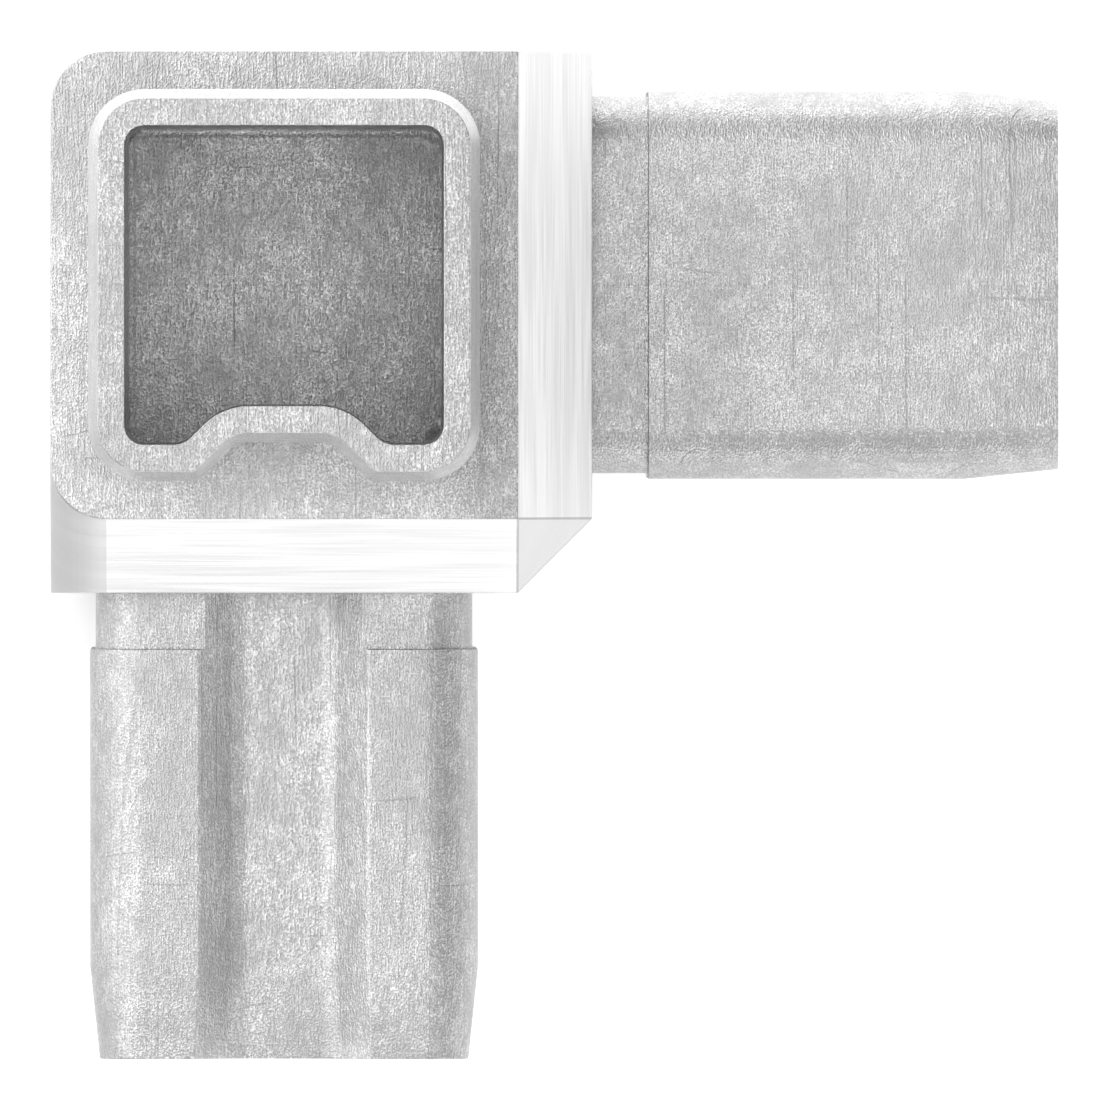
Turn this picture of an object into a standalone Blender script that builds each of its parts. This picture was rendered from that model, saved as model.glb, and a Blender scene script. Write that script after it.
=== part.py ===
"""Square tube connector: a three-way corner piece that joins three square tubes.

One casting. A hollow corner block carries three hollow spigots at right angles, one
upright, one to the front and one to the side. A tube slides over each spigot and stops
against the flat seat round its foot. Each spigot has a relieved neck at its foot, a
lead-in taper at its tip, and a groove along one side that clears the tube's weld bead.
The wall follows the groove, so the bore has a ridge there. The bores meet in the block.

Metres, +Z up. The upright spigot stands on the Z axis, and the block rests on Z = 0.
"""
import math

import bmesh
import bpy
from mathutils import Matrix, Vector

MM = 0.001

# The square tube that the connector is made for
TUBE_SIDE = 25.0 * MM
TUBE_WALL = 2.0 * MM
FIT_CLEARANCE = 0.2 * MM

# Corner block
SEAT_CHAMFER = 4.0 * MM
BLOCK_EDGE_RADIUS = 3.0 * MM

# Spigots
SPIGOT_LENGTH = 25.0 * MM
SPIGOT_CORNER_RADIUS = 3.0 * MM
SPIGOT_WALL = 1.95 * MM
NECK_LENGTH = 3.0 * MM
NECK_RELIEF = 0.3 * MM
LEAD_IN_LENGTH = 5.0 * MM
LEAD_IN_INSET = 0.52 * MM

# Groove along one side of each spigot, and the ridge that it makes in the bore
GROOVE_DEPTH = 2.05 * MM
GROOVE_FLANK_ANGLE = math.radians(45.0)
GROOVE_FLOOR_RADIUS = 1.5 * MM
GROOVE_MOUTH_RADIUS = 0.3 * MM
RIDGE_FOOT_RADIUS = 1.3 * MM

# How much wider the flat on either side of the groove is than half the groove's floor
LAND_EXCESS = 0.4 * MM

# Edge of the hub's back wall, where the closed bore ends
BORE_END_RADIUS = 0.62 * MM

# Facets of each kind of rounding
CORNER_FACETS = 12
BORE_CORNER_FACETS = 8
BEND_FACETS = 6
MOUTH_FACETS = 2
SHARP_ANGLE = math.radians(25.0)

# Outline points lie on a grid of 0.1 micrometre, so walls that share a plane share it exactly
GRID_DIGITS = 7

# What counts as one point and as one plane when the finished mesh is tidied
SAME_POINT = 0.001 * MM
SAME_PLANE = math.radians(0.05)

# How far a blank reaches into the block, and a cutter past what it cuts
ROOT_DEPTH = 2.0 * MM
CUT_MARGIN = 1.0 * MM

# Finish
METAL_COLOR = (0.60, 0.61, 0.62, 1.0)
METAL_ROUGHNESS = 0.42
METAL_METALLIC = 1.0

# Sizes that follow from the ones above
SPIGOT_SIDE = TUBE_SIDE - 2.0 * TUBE_WALL - FIT_CLEARANCE
BLOCK_SIDE = TUBE_SIDE + SEAT_CHAMFER
HUB = Vector((0.0, 0.0, TUBE_SIDE / 2.0))
SEAT_DISTANCE = BLOCK_SIDE - TUBE_SIDE / 2.0
TIP_DISTANCE = SEAT_DISTANCE + SPIGOT_LENGTH
BORE_HALF = SPIGOT_SIDE / 2.0 - SPIGOT_WALL
FLANK_RUN = GROOVE_DEPTH / math.tan(GROOVE_FLANK_ANGLE)
GROOVE_FLOOR_WIDTH = SPIGOT_SIDE / 2.0 - SPIGOT_CORNER_RADIUS - FLANK_RUN - LAND_EXCESS

# Each arm's name, its direction, and the side that its groove is on
ARMS = (
    ("upright", Vector((0, 0, 1)), Vector((0, -1, 0))),
    ("front", Vector((0, -1, 0)), Vector((0, 0, 1))),
    ("side", Vector((1, 0, 0)), Vector((0, -1, 0))),
)


def clear_scene():
    """Remove every object of the scene that is open."""
    for old in list(bpy.data.objects):
        bpy.data.objects.remove(old, do_unlink=True)


def new_collection(name):
    """A new collection in the scene."""
    collection = bpy.data.collections.new(name)
    bpy.context.scene.collection.children.link(collection)
    return collection


def galvanised_metal():
    """Plain grey zinc finish."""
    material = bpy.data.materials.new("galvanised_metal")
    material.use_nodes = True
    shader = material.node_tree.nodes["Principled BSDF"]
    shader.inputs["Base Color"].default_value = METAL_COLOR
    shader.inputs["Roughness"].default_value = METAL_ROUGHNESS
    shader.inputs["Metallic"].default_value = METAL_METALLIC
    return material


def on_grid(x, y):
    """A point's two coordinates, rounded to the grid."""
    return round(x, GRID_DIGITS), round(y, GRID_DIGITS)


def round_corners(corners):
    """Outline of a polygon whose corners are (x, y, radius, facets).

    A corner with a radius becomes an arc of facets + 1 points, turning to either side.
    """
    outline = []
    for index, (x, y, radius, facets) in enumerate(corners):
        if facets == 0:
            outline.append(on_grid(x, y))
            continue
        before_x, before_y = corners[index - 1][:2]
        after_x, after_y = corners[(index + 1) % len(corners)][:2]
        arriving = math.atan2(y - before_y, x - before_x)
        leaving = math.atan2(after_y - y, after_x - x)
        turn = math.remainder(leaving - arriving, 2.0 * math.pi)
        side = math.copysign(1.0, turn)
        reach = radius * math.tan(abs(turn) / 2.0)
        centre_x = x - reach * math.cos(arriving) - side * radius * math.sin(arriving)
        centre_y = y - reach * math.sin(arriving) + side * radius * math.cos(arriving)
        for step in range(facets + 1):
            heading = arriving + turn * step / facets
            point_x = centre_x + side * radius * math.sin(heading)
            point_y = centre_y - side * radius * math.cos(heading)
            outline.append(on_grid(point_x, point_y))
    return outline


def grooved_section(inset, corner_facets, mouth_radius, mouth_facets):
    """Outline of a spigot, shrunk by inset, with the groove on its -Y side."""
    half = SPIGOT_SIDE / 2.0 - inset
    floor_half = GROOVE_FLOOR_WIDTH / 2.0 + inset * math.tan(GROOVE_FLANK_ANGLE / 2.0)
    mouth_half = floor_half + FLANK_RUN
    floor_y = GROOVE_DEPTH - half
    corner = (SPIGOT_CORNER_RADIUS - inset, corner_facets)
    bend = (GROOVE_FLOOR_RADIUS + inset, BEND_FACETS)
    mouth = (mouth_radius, mouth_facets)
    return round_corners([
        (half, half, *corner),
        (-half, half, *corner),
        (-half, -half, *corner),
        (-mouth_half, -half, *mouth),
        (-floor_half, floor_y, *bend),
        (floor_half, floor_y, *bend),
        (mouth_half, -half, *mouth),
        (half, -half, *corner),
    ])


def spigot_section(inset):
    """Outside of a spigot, shrunk by inset."""
    return grooved_section(inset, CORNER_FACETS, GROOVE_MOUTH_RADIUS, MOUTH_FACETS)


def bore_section(inset):
    """Outline of a bore, one wall inside the spigot's, shrunk by inset."""
    foot_radius = RIDGE_FOOT_RADIUS - inset
    return grooved_section(SPIGOT_WALL + inset, BORE_CORNER_FACETS, foot_radius, BEND_FACETS)


def square_section(half, radius, facets):
    """Outline of a square with rounded corners."""
    signs = ((1, 1), (-1, 1), (-1, -1), (1, -1))
    return round_corners([(x * half, y * half, radius, facets) for x, y in signs])


def mesh_object(name, builder, collection):
    """An object made of what a bmesh holds."""
    mesh = bpy.data.meshes.new(name)
    builder.to_mesh(mesh)
    builder.free()
    made = bpy.data.objects.new(name, mesh)
    collection.objects.link(made)
    return made


def merge_flat_faces(builder):
    """Join neighbouring faces that lie in one plane, and drop points on straight edges."""
    bmesh.ops.dissolve_limit(
        builder,
        angle_limit=SAME_PLANE,
        verts=builder.verts[:],
        edges=builder.edges[:],
    )


def loft(name, sections, collection):
    """A closed solid through outlines of equal length, each given with its height."""
    builder = bmesh.new()
    rings = []
    for height, outline in sections:
        rings.append([builder.verts.new((x, y, height)) for x, y in outline])
    for lower, upper in zip(rings, rings[1:]):
        for index in range(len(lower)):
            after = (index + 1) % len(lower)
            builder.faces.new((lower[index], lower[after], upper[after], upper[index]))
    builder.faces.new(reversed(rings[0]))
    builder.faces.new(rings[-1])
    bmesh.ops.connect_verts_nonplanar(builder, angle_limit=SAME_PLANE, faces=builder.faces[:])
    return mesh_object(name, builder, collection)


def ring_prism(name, outer, inner, bottom, top, collection):
    """A flat outline with a hole in it, extruded from bottom to top."""
    curve = bpy.data.curves.new(name, "CURVE")
    curve.dimensions = "2D"
    curve.fill_mode = "BOTH"
    curve.extrude = (top - bottom) / 2.0
    for outline in (outer, inner):
        spline = curve.splines.new("POLY")
        spline.points.add(len(outline) - 1)
        for point, (x, y) in zip(spline.points, outline):
            point.co = (x, y, 0.0, 1.0)
        spline.use_cyclic_u = True
    outline_object = bpy.data.objects.new(name + "_outline", curve)
    collection.objects.link(outline_object)
    graph = bpy.context.evaluated_depsgraph_get()
    mesh = bpy.data.meshes.new_from_object(outline_object.evaluated_get(graph))
    builder = bmesh.new()
    builder.from_mesh(mesh)
    bmesh.ops.remove_doubles(builder, verts=builder.verts[:], dist=SAME_POINT)
    bmesh.ops.recalc_face_normals(builder, faces=builder.faces[:])
    bmesh.ops.translate(builder, vec=(0.0, 0.0, (top + bottom) / 2.0), verts=builder.verts[:])
    bpy.data.objects.remove(outline_object, do_unlink=True)
    bpy.data.meshes.remove(mesh)
    return mesh_object(name, builder, collection)


def add_boolean(target, tool, operation):
    """Join a tool to the target, or cut it away."""
    modifier = target.modifiers.new(operation.lower() + "_" + tool.name, "BOOLEAN")
    modifier.operation = operation
    modifier.solver = "EXACT"
    modifier.object = tool


def arm_matrix(direction, groove_side):
    """Frame of an arm: its +Z runs along the arm from the hub, its -Y to the groove."""
    y_axis = -groove_side
    x_axis = y_axis.cross(direction)
    matrix = Matrix((x_axis, y_axis, direction)).transposed().to_4x4()
    matrix.translation = HUB
    return matrix


def make_tool(tool, matrix):
    """Place a blank or a cutter by its mesh, and keep it out of the model."""
    tool.data.transform(matrix)
    tool.hide_render = True
    tool.display_type = "WIRE"


def corner_block(name, collection):
    """The block: a cube with its inner edges chamfered and the elbow's outer edges round.

    Points are measured from the block's outer corner: x to the side, front to the
    front and height up. The elbow of the upright and the front arm has the same
    outline on both its seats, and its roundings meet in a mitre at the outer corner.
    """
    elbow_corners = [
        (TUBE_SIDE, 0.0, 0.0, 0),
        (0.0, 0.0, BLOCK_EDGE_RADIUS, CORNER_FACETS),
        (0.0, TUBE_SIDE, BLOCK_EDGE_RADIUS, CORNER_FACETS),
        (TUBE_SIDE, TUBE_SIDE, 0.0, 0),
    ]
    elbow_seat = round_corners(elbow_corners)
    outer_arc = elbow_seat[1:CORNER_FACETS + 2]
    points = []
    for x, across in elbow_seat:
        points.append((x, across, BLOCK_SIDE))
        points.append((x, BLOCK_SIDE, across))
    for x, across in outer_arc:
        points.append((x, across, across))
    for front in (0.0, TUBE_SIDE):
        for height in (0.0, TUBE_SIDE):
            points.append((BLOCK_SIDE, front, height))
    builder = bmesh.new()
    for x, front, height in points:
        builder.verts.new((x - TUBE_SIDE / 2.0, TUBE_SIDE / 2.0 - front, height))
    bmesh.ops.convex_hull(builder, input=builder.verts[:])
    merge_flat_faces(builder)
    bmesh.ops.recalc_face_normals(builder, faces=builder.faces[:])
    return mesh_object(name, builder, collection)


def spigot_blank(name, collection):
    """A solid spigot from its root in the block to its tapered tip."""
    sections = [
        (SEAT_DISTANCE - ROOT_DEPTH, spigot_section(0.0)),
        (TIP_DISTANCE - LEAD_IN_LENGTH, spigot_section(0.0)),
        (TIP_DISTANCE, spigot_section(LEAD_IN_INSET)),
    ]
    return loft(name, sections, collection)


def neck_cutter(name, collection):
    """A collar that leaves the neck. It stays clear of the groove, which runs through."""
    neck_half = SPIGOT_SIDE / 2.0 - NECK_RELIEF
    neck_radius = SPIGOT_CORNER_RADIUS - NECK_RELIEF
    return ring_prism(
        name,
        square_section(TUBE_SIDE / 2.0, 0.0, 0),
        square_section(neck_half, neck_radius, CORNER_FACETS),
        SEAT_DISTANCE - ROOT_DEPTH - CUT_MARGIN,
        SEAT_DISTANCE + NECK_LENGTH,
        collection,
    )


def closed_bore_cutter(name, collection):
    """The bore that ends behind the hub, with a round edge to its end."""
    sections = []
    for step in range(BORE_CORNER_FACETS + 1):
        angle = math.pi / 2.0 * step / BORE_CORNER_FACETS
        inset, height = on_grid(
            BORE_END_RADIUS * (1.0 - math.sin(angle)),
            BORE_END_RADIUS * (1.0 - math.cos(angle)) - BORE_HALF,
        )
        sections.append((height, bore_section(inset)))
    sections.append((TIP_DISTANCE + CUT_MARGIN, bore_section(0.0)))
    return loft(name, sections, collection)


def open_bore_cutter(name, collection):
    """A bore that starts at the hub, inside the closed bore."""
    sections = [
        (0.0, bore_section(0.0)),
        (TIP_DISTANCE + CUT_MARGIN, bore_section(0.0)),
    ]
    return loft(name, sections, collection)


def apply_modifiers(target):
    """Turn an object's modifiers into its mesh, smooth except at its sharp edges."""
    graph = bpy.context.evaluated_depsgraph_get()
    mesh = bpy.data.meshes.new_from_object(target.evaluated_get(graph))
    target.modifiers.clear()
    target.data = mesh
    builder = bmesh.new()
    builder.from_mesh(mesh)
    bmesh.ops.dissolve_degenerate(builder, dist=SAME_POINT, edges=builder.edges[:])
    merge_flat_faces(builder)
    builder.to_mesh(mesh)
    builder.free()
    mesh.shade_smooth()
    mesh.set_sharp_from_angle(angle=SHARP_ANGLE)


def build():
    """Model the connector."""
    clear_scene()
    parts = new_collection("Square tube connector")
    tools = new_collection("Blanks and cutters")
    connector = corner_block("corner_connector", parts)
    bores = []
    for arm, direction, groove_side in ARMS:
        matrix = arm_matrix(direction, groove_side)
        blank = spigot_blank(arm + "_spigot_blank", tools)
        collar = neck_cutter(arm + "_neck_cutter", tools)
        make_bore = open_bore_cutter if bores else closed_bore_cutter
        bore = make_bore(arm + "_bore_cutter", tools)
        for tool in (blank, collar, bore):
            make_tool(tool, matrix)
        add_boolean(blank, collar, "DIFFERENCE")
        add_boolean(connector, blank, "UNION")
        bores.append(bore)
    for bore in bores:
        add_boolean(connector, bore, "DIFFERENCE")
    apply_modifiers(connector)
    connector.data.materials.clear()
    connector.data.materials.append(galvanised_metal())


build()
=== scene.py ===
"""Square tube connector: the dressed model, its stage and its camera.

The connector is one casting: a chamfered corner block with three hollow spigots. A
geometry node tree builds the spigots and the bores from named sizes and joins them to
the block. The file is laid out as an add-on, and is run as a script.
"""
import math

import bmesh
import bpy
import numpy as np
from mathutils import Matrix, Vector


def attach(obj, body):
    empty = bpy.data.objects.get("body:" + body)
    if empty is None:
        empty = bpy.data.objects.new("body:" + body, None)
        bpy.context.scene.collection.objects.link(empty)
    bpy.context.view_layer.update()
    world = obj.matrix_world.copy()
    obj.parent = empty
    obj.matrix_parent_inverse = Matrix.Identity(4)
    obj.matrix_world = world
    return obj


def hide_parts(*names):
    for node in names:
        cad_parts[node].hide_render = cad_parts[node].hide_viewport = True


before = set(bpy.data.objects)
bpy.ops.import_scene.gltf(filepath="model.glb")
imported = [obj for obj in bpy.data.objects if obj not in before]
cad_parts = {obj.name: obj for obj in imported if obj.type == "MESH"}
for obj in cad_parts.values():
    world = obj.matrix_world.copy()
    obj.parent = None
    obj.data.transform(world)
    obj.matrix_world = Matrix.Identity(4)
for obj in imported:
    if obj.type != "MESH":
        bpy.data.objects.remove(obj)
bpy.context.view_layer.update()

bl_info = {
    "name": "Square tube connector",
    "version": (1, 0, 0),
    "blender": (4, 5, 0),
    "location": "3D View > Sidebar > Connector",
    "description": "Builds a three-way connector for square tube, with its stage",
    "category": "Add Mesh",
}

MM = 0.001
NODE = "corner_connector"

# Faces that turn less than this lie in one plane
FLAT = math.radians(0.05)
# Edges that turn more than these are broken, and are shaded sharp
BROKEN_ANGLE = math.radians(30.0)
SHARP_ANGLE = math.radians(50.0)
# Points closer than this are one, and lofted points lie on a grid of this step
JOIN_DISTANCE = 0.001 * MM
GRID_STEP = 1.0e-7

# Where the picture's centre falls: beside the upright spigot, just under the seats' height
PICTURE_CENTRE = (14.52 * MM, -14.47 * MM, 27.0 * MM)

# Each arm's frame: columns across, away from the groove, and along the arm
ARMS = {
    "upright": ((1, 0, 0), (0, 1, 0), (0, 0, 1)),
    "front": ((-1, 0, 0), (0, 0, -1), (0, -1, 0)),
    "side": ((0, 0, -1), (0, 1, 0), (1, 0, 0)),
}
# Signs that count X, Y and Z along the arms
OUTWARD = (1.0, -1.0, 1.0)

# Facets of the roundings: spigot corners, channel bends, channel mouths, broken edges, bore ends
CORNER_FACETS = 12
BEND_FACETS = 10
MOUTH_FACETS = 4
EDGE_FACETS = 3
END_FACETS = 8
# Points of one outline: four corners, two mouths, two bends and a knot on each flank
OUTLINE_POINTS = 4 * (CORNER_FACETS + 1) + 2 * (MOUTH_FACETS + 1) + 2 * (BEND_FACETS + 1) + 2
# Where a bore outline's knot lies on its flank, between the foot's and the floor's rounding
BORE_KNOT = 0.3
# How far the foot of a 45 degree flank moves when its outline is drawn in by one
FLANK_SHIFT = math.tan(math.pi / 8.0)
# The neck's channel mouth is rounded by this share of the spigot's
NECK_MOUTH = 0.3
# The bore cutter's last ring, in widths of the broken edge: outside the bore, and past the tip
CUTTER_FLARE = 1.5
CUTTER_REACH = 0.3


def length(name, description, default):
    """A length property in metres."""
    return bpy.props.FloatProperty(
        name=name,
        description=description,
        default=default,
        min=0.0,
        precision=5,
        subtype="DISTANCE",
        unit="LENGTH",
    )


def factor(name, description, default):
    """A property between 0 and 1."""
    return bpy.props.FloatProperty(
        name=name,
        description=description,
        default=default,
        min=0.0,
        max=1.0,
        subtype="FACTOR",
    )


def strength(name, description, default):
    """How strong a light is."""
    return bpy.props.FloatProperty(name=name, description=description, default=default, min=0.0)


def colour(name, description, default):
    """A colour property."""
    return bpy.props.FloatVectorProperty(
        name=name,
        description=description,
        default=default,
        size=3,
        min=0.0,
        max=1.0,
        subtype="COLOR",
    )


class ConnectorSizes(bpy.types.PropertyGroup):
    """Sizes of the connector, for a 25 x 25 x 2 mm tube."""

    tube_side: length("Tube side", "Outside width of the tube", 25.0 * MM)
    tube_wall: length("Tube wall", "Wall of the tube", 2.0 * MM)
    clearance: length("Clearance", "Play of the spigot in the tube", 0.2 * MM)
    chamfer: length("Chamfer", "Chamfer of the block's inner edges", 4.0 * MM)
    block_radius: length("Block radius", "Rounding of the elbow's outer edges", 3.0 * MM)
    spigot_length: length("Spigot length", "From the seat to the tip", 25.0 * MM)
    corner_radius: length("Corner radius", "Rounding of the spigot's corners", 3.0 * MM)
    wall: length("Spigot wall", "Wall of the spigot", 1.95 * MM)
    neck_length: length("Neck length", "Relieved neck at the spigot's foot", 3.0 * MM)
    neck_relief: length("Neck relief", "Depth of the neck", 0.3 * MM)
    lead_in: length("Lead-in", "Length of the taper at the tip", 5.0 * MM)
    lead_in_inset: length("Lead-in inset", "How far the taper draws in", 0.52 * MM)
    groove_depth: length("Groove depth", "Depth of the weld bead groove", 2.05 * MM)
    groove_radius: length("Groove radius", "Rounding at the groove's floor", 1.5 * MM)
    mouth_radius: length("Mouth radius", "Rounding at the groove's mouth", 0.3 * MM)
    ridge_radius: length("Ridge foot radius", "Rounding at the ridge's foot", 1.3 * MM)
    land_excess: length("Land excess", "Land beside the groove, over half its floor", 0.4 * MM)
    bore_end_radius: length("Bore end radius", "Rounding at the hub's back wall", 0.62 * MM)
    edge: length("Broken edge", "Width of the broken sharp edges", 0.07 * MM)


class ConnectorFinish(bpy.types.PropertyGroup):
    """Finish of the galvanised metal."""

    cast_color: colour("Cast colour", "Bright zinc on the cast skin", (0.87, 0.87, 0.87))
    patch_color: colour("Patch colour", "Dull zinc between", (0.49, 0.49, 0.49))
    brushed_color: colour("Brushed colour", "Dressed chamfers", (0.79, 0.79, 0.79))
    cast_roughness: factor("Cast roughness", "Roughness of the cast skin", 0.4)
    brushed_roughness: factor("Brushed roughness", "Roughness of the chamfers", 0.36)
    grain: length("Grain", "Width of the grain's streaks", 0.095 * MM)
    relief: length("Relief", "Height of the grain", 0.038 * MM)


class ConnectorStage(bpy.types.PropertyGroup):
    """Floor, light and camera."""

    floor_color: colour("Floor colour", "Plain pale floor", (0.93, 0.93, 0.93))
    floor_size: length("Floor size", "Side of the floor", 6.0)
    floor_glow: strength("Floor glow", "Light that the whole floor gives off", 0.3)
    corner_glow: strength("Corner glow", "More of it between the arms", 0.26)
    back_glow: strength("Back glow", "More of it behind the connector", 1.0)
    sky: strength("Sky", "Strength of the even light", 0.01)
    overhead: strength("Overhead", "Radiance of the softbox above", 3.5)
    view_width: length("View width", "Width that the camera sees", 59.43 * MM)
    camera_distance: length("Camera distance", "From the camera to the seats", 2.7)


class Nodes:
    """A node tree that is filled one node at a time."""

    def __init__(self, tree):
        self.tree = tree

    def node(self, kind, values=(), **settings):
        """A node with its settings, and a link or a plain value for each given input."""
        made = self.tree.nodes.new(kind)
        for name, value in settings.items():
            setattr(made, name, value)
        for key, value in dict(values).items():
            self.feed(made.inputs[key], value)
        return made

    def feed(self, socket, value):
        """Link a socket to another, or set it."""
        if isinstance(value, bpy.types.NodeSocket):
            self.tree.links.new(value, socket)
        else:
            socket.default_value = value

    def math(self, operation, *values):
        """Result of a maths node."""
        made = self.node("ShaderNodeMath", enumerate(values), operation=operation)
        return made.outputs[0]

    def add(self, *values):
        """Sum of all values."""
        total = values[0]
        for value in values[1:]:
            total = self.math("ADD", total, value)
        return total

    def minus(self, first, second):
        """First less second."""
        return self.math("SUBTRACT", first, second)

    def times(self, first, second):
        """First times second."""
        return self.math("MULTIPLY", first, second)

    def vector(self, x, y, z=0.0):
        """A vector of three values."""
        return self.node("ShaderNodeCombineXYZ", enumerate((x, y, z))).outputs[0]

    def multiplied(self, vector, by):
        """A vector times another, axis by axis."""
        return self.node("ShaderNodeVectorMath", {0: vector, 1: by}, operation="MULTIPLY").outputs[0]


class GeometryTree(Nodes):
    """A geometry node tree with named inputs and outputs."""

    def __init__(self, name):
        super().__init__(bpy.data.node_groups.new(name, "GeometryNodeTree"))
        self.source = self.tree.nodes.new("NodeGroupInput")
        self.target = self.tree.nodes.new("NodeGroupOutput")

    def add_input(self, name, kind, default=None):
        """A named input of the tree; gives the socket that carries it."""
        socket = self.tree.interface.new_socket(name, in_out="INPUT", socket_type=kind)
        if default is not None:
            socket.default_value = default
        return self.source.outputs[name]

    def add_output(self, name, kind, value):
        """A named output of the tree, fed by value."""
        self.tree.interface.new_socket(name, in_out="OUTPUT", socket_type=kind)
        self.tree.links.new(value, self.target.inputs[name])

    def whole(self, operation, first, second):
        """Result of a whole-number maths node."""
        made = self.node("FunctionNodeIntegerMath", {0: first, 1: second}, operation=operation)
        return made.outputs[0]

    def choose(self, data_type, index, items):
        """The item that the index points to."""
        made = self.node("GeometryNodeIndexSwitch", data_type=data_type)
        while len(made.index_switch_items) < len(items):
            made.index_switch_items.new()
        self.feed(made.inputs["Index"], index)
        for number, item in enumerate(items):
            self.feed(made.inputs[number + 1], item)
        return made.outputs[0]


def outline_group():
    """Tree of a rounded square outline with a channel in its -Y side."""
    tree = GeometryTree("Channelled outline")
    half = tree.add_input("Half side", "NodeSocketFloat")
    corner = tree.add_input("Corner radius", "NodeSocketFloat")
    floor_half = tree.add_input("Floor half width", "NodeSocketFloat")
    depth = tree.add_input("Channel depth", "NodeSocketFloat")
    bend = tree.add_input("Floor radius", "NodeSocketFloat")
    mouth = tree.add_input("Mouth radius", "NodeSocketFloat")
    knot = tree.add_input("Knot depth", "NodeSocketFloat")
    below = tree.times(half, -1.0)
    mouth_x = tree.add(floor_half, depth)
    floor_y = tree.add(below, depth)
    knot_x = tree.minus(mouth_x, knot)
    knot_y = tree.add(below, knot)
    left_mouth = tree.times(mouth_x, -1.0)
    left_knot = tree.times(knot_x, -1.0)
    left_floor = tree.times(floor_half, -1.0)
    points = (
        (half, half, corner, CORNER_FACETS),
        (below, half, corner, CORNER_FACETS),
        (below, below, corner, CORNER_FACETS),
        (left_mouth, below, mouth, MOUTH_FACETS),
        (left_knot, knot_y, 0.0, 1),
        (left_floor, floor_y, bend, BEND_FACETS),
        (floor_half, floor_y, bend, BEND_FACETS),
        (knot_x, knot_y, 0.0, 1),
        (mouth_x, below, mouth, MOUTH_FACETS),
        (half, below, corner, CORNER_FACETS),
    )
    index = tree.node("GeometryNodeInputIndex").outputs[0]
    line = tree.node("GeometryNodeMeshLine", {"Count": len(points)})
    place = tree.choose("VECTOR", index, [tree.vector(x, y) for x, y, r, n in points])
    placed = tree.node("GeometryNodeSetPosition", {"Geometry": line.outputs[0], "Position": place})
    curve = tree.node("GeometryNodeMeshToCurve", {"Mesh": placed.outputs[0]})
    closed = tree.node(
        "GeometryNodeSetSplineCyclic", {"Geometry": curve.outputs[0], "Cyclic": True}
    )
    rounded = tree.node(
        "GeometryNodeFilletCurve",
        {
            "Curve": closed.outputs[0],
            "Count": tree.choose("INT", index, [n for x, y, r, n in points]),
            "Radius": tree.choose("FLOAT", index, [r for x, y, r, n in points]),
        },
        mode="POLY",
    )
    tree.add_output("Outline", "NodeSocketGeometry", rounded.outputs[0])
    return tree.tree


def on_grid(tree, place):
    """A place rounded to the grid, so walls that share a plane share it exactly."""
    steps_per_metre = 1.0 / GRID_STEP
    counted = tree.node(
        "ShaderNodeVectorMath",
        {0: place, 1: (steps_per_metre,) * 3, 2: (0.5,) * 3},
        operation="MULTIPLY_ADD",
    )
    whole = tree.node("ShaderNodeVectorMath", {0: counted.outputs[0]}, operation="FLOOR")
    made = tree.node(
        "ShaderNodeVectorMath",
        {0: whole.outputs[0], "Scale": GRID_STEP},
        operation="SCALE",
    )
    return made.outputs[0]


def lifted(tree, place, height):
    """A place moved up, and put on the grid."""
    moved = tree.node(
        "ShaderNodeVectorMath",
        {0: place, 1: tree.vector(0.0, 0.0, height)},
        operation="ADD",
    )
    return on_grid(tree, moved.outputs[0])


def loft(tree, rings):
    """A closed solid through outlines of equal length, each given with its height."""
    rows = len(rings)
    index = tree.node("GeometryNodeInputIndex").outputs[0]
    position = tree.node("GeometryNodeInputPosition").outputs[0]
    around = tree.whole("MODULO", tree.whole("DIVIDE", index, rows), OUTLINE_POINTS)
    row = tree.whole("MODULO", index, rows)
    samples = {}
    for outline, _ in rings:
        if outline not in samples:
            sampled = tree.node(
                "GeometryNodeSampleIndex",
                {"Geometry": outline, "Value": position, "Index": around},
                data_type="FLOAT_VECTOR",
                domain="POINT",
            )
            samples[outline] = sampled.outputs[0]
    places = [lifted(tree, samples[outline], height) for outline, height in rings]
    grid = tree.node("GeometryNodeMeshGrid", {"Vertices X": OUTLINE_POINTS + 1, "Vertices Y": rows})
    skin = tree.node(
        "GeometryNodeSetPosition",
        {"Geometry": grid.outputs[0], "Position": tree.choose("VECTOR", row, places)},
    )
    parts = [skin.outputs[0]]
    for (outline, height), is_bottom in ((rings[0], True), (rings[-1], False)):
        cap = tree.node("GeometryNodeFillCurve", {"Curve": outline}, mode="NGONS").outputs[0]
        if is_bottom:
            cap = tree.node("GeometryNodeFlipFaces", {"Mesh": cap}).outputs[0]
        moved = tree.node(
            "GeometryNodeSetPosition",
            {"Geometry": cap, "Position": lifted(tree, position, height)},
        )
        parts.append(moved.outputs[0])
    join = tree.node("GeometryNodeJoinGeometry")
    for part in reversed(parts):
        tree.tree.links.new(part, join.inputs[0])
    return welded(tree, join.outputs[0])


def welded(tree, geometry):
    """Geometry whose points that fall together are joined."""
    made = tree.node(
        "GeometryNodeMergeByDistance", {"Geometry": geometry, "Distance": JOIN_DISTANCE}
    )
    return made.outputs[0]


def quarter_turn(facets):
    """Angles that cut a quarter turn into facets, both ends included."""
    return [math.pi / 2.0 * step / facets for step in range(facets + 1)]


# The sizes that the connector's tree takes: all but the block's own rounding
TREE_SIZES = tuple(name for name in ConnectorSizes.__annotations__ if name != "block_radius")


def label_of(sizes, name):
    """The name that a size shows in the panel, which is its input's name too."""
    return sizes.bl_rna.properties[name].name


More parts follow.
